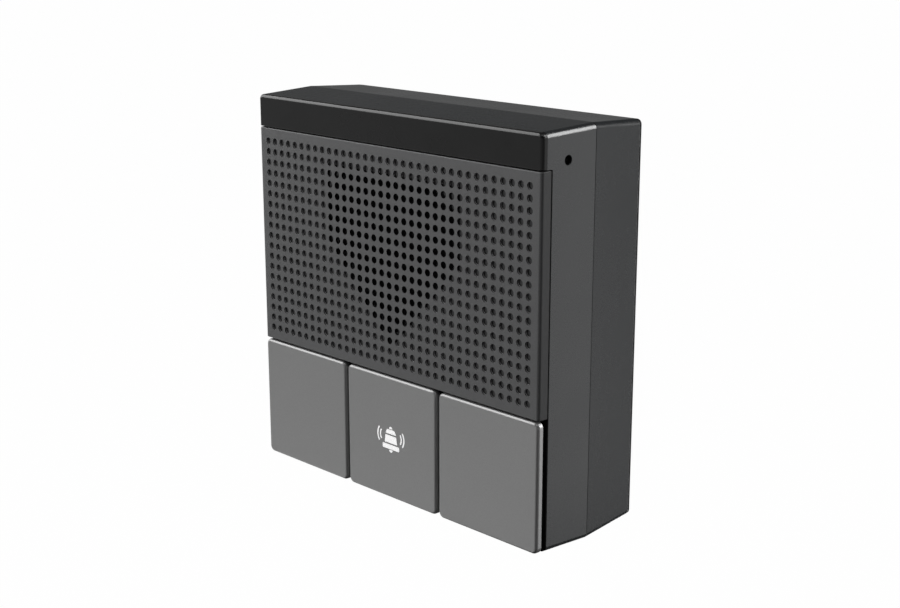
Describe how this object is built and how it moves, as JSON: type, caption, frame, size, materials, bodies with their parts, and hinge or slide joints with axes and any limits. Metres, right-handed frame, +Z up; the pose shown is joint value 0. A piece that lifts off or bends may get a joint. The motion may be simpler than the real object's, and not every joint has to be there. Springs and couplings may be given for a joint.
{
  "type": "ip intercom",
  "caption": "Square wall intercom with a perforated speaker front, a gloss trim strip above it and a row of push keys below, hung on a wall plate.",
  "frame": {"origin": "centre of the wall plate's rear face, which lies on the wall", "axes": "+Z up, +X to the right as seen from the front, +Y into the wall, so the front faces -Y"},
  "size_m": [0.1188, 0.0406, 0.1178],
  "materials": {
    "dark_case": "fine matt texture",
    "gloss_black": "polished",
    "grille_metal": "satin paint",
    "key_grey": "satin metallic paint",
    "pictogram": "satin",
    "silicone": "matt",
    "black_rubber": "matt",
    "black_cloth": "woven",
    "woven_cloth": "woven, resin dipped",
    "cone_paper": "pressed fibre",
    "pressed_steel": "zinc plated",
    "magnet_plating": "nickel plated",
    "tinned_steel": "tinned",
    "copper_wire": "enamelled copper",
    "board": "solder mask",
    "strip": "laminate",
    "led": "clear resin",
    "connector": "moulded",
    "jack_shell": "nickel plated",
    "gold_contact": "gold plated",
    "terminal_green": "moulded",
    "chip": "moulded epoxy",
    "ferrite": "sintered",
    "capacitor_can": "drawn",
    "capsule": "drawn",
    "ribbon": "flexible film",
    "lead": "sheathed",
    "screw_steel": "zinc plated",
    "plate": "fine matt texture"
  },
  "bodies": {
    "housing": {"bell_leds": "led", "dust_cap": "cone_paper", "ethernet_jack": "jack_shell", "front_housing": "dark_case", "housing_screws": "screw_steel", "jack_contacts": "gold_contact", "key_board": "board", "key_board_connector": "connector", "key_board_screws": "screw_steel", "key_ribbon": "ribbon", "left_dome": "silicone", "line_transformer": "chip", "lock_screw": "screw_steel", "magnet": "magnet_plating", "magnet_cup": "pressed_steel", "main_board": "board", "main_board_connector": "connector", "main_board_screws": "screw_steel", "microphone": "capsule", "microphone_boot": "black_rubber", "microphone_connector": "connector", "microphone_leads": "lead", "middle_dome": "silicone", "pole_plate": "pressed_steel", "power_inductor": "ferrite", "power_terminal": "terminal_green", "processor": "chip", "rear_housing": "dark_case", "relay_terminal": "terminal_green", "right_dome": "silicone", "seam_gasket": "black_rubber", "shield_can": "tinned_steel", "smoothing_capacitors": "capacitor_can", "speaker_cloth": "black_cloth", "speaker_cone": "cone_paper", "speaker_connector": "connector", "speaker_frame": "pressed_steel", "speaker_gasket": "black_rubber", "speaker_grille": "grille_metal", "speaker_leads": "lead", "speaker_screws": "screw_steel", "speaker_surround": "black_rubber", "speaker_terminal_strip": "strip", "spider": "woven_cloth", "top_trim": "gloss_black", "voice_coil": "copper_wire", "wall_plate": "plate"},
    "left_key": {"left_key": "key_grey"},
    "middle_key": {"middle_key": "key_grey", "bell_inlay": "pictogram"},
    "right_key": {"right_key": "key_grey"}
  },
  "joints": [
    {"name": "left_key_press", "type": "slide", "parent": "housing", "child": "left_key", "axis": [0, 1, 0], "range_m": [0, 0.0011], "stiffness_N_per_m": 900, "springref_m": -0.001, "deforming": ["left_dome"]},
    {"name": "middle_key_press", "type": "slide", "parent": "housing", "child": "middle_key", "axis": [0, 1, 0], "range_m": [0, 0.0011], "stiffness_N_per_m": 900, "springref_m": -0.001, "deforming": ["middle_dome"]},
    {"name": "right_key_press", "type": "slide", "parent": "housing", "child": "right_key", "axis": [0, 1, 0], "range_m": [0, 0.0011], "stiffness_N_per_m": 900, "springref_m": -0.001, "deforming": ["right_dome"]}
  ]
}
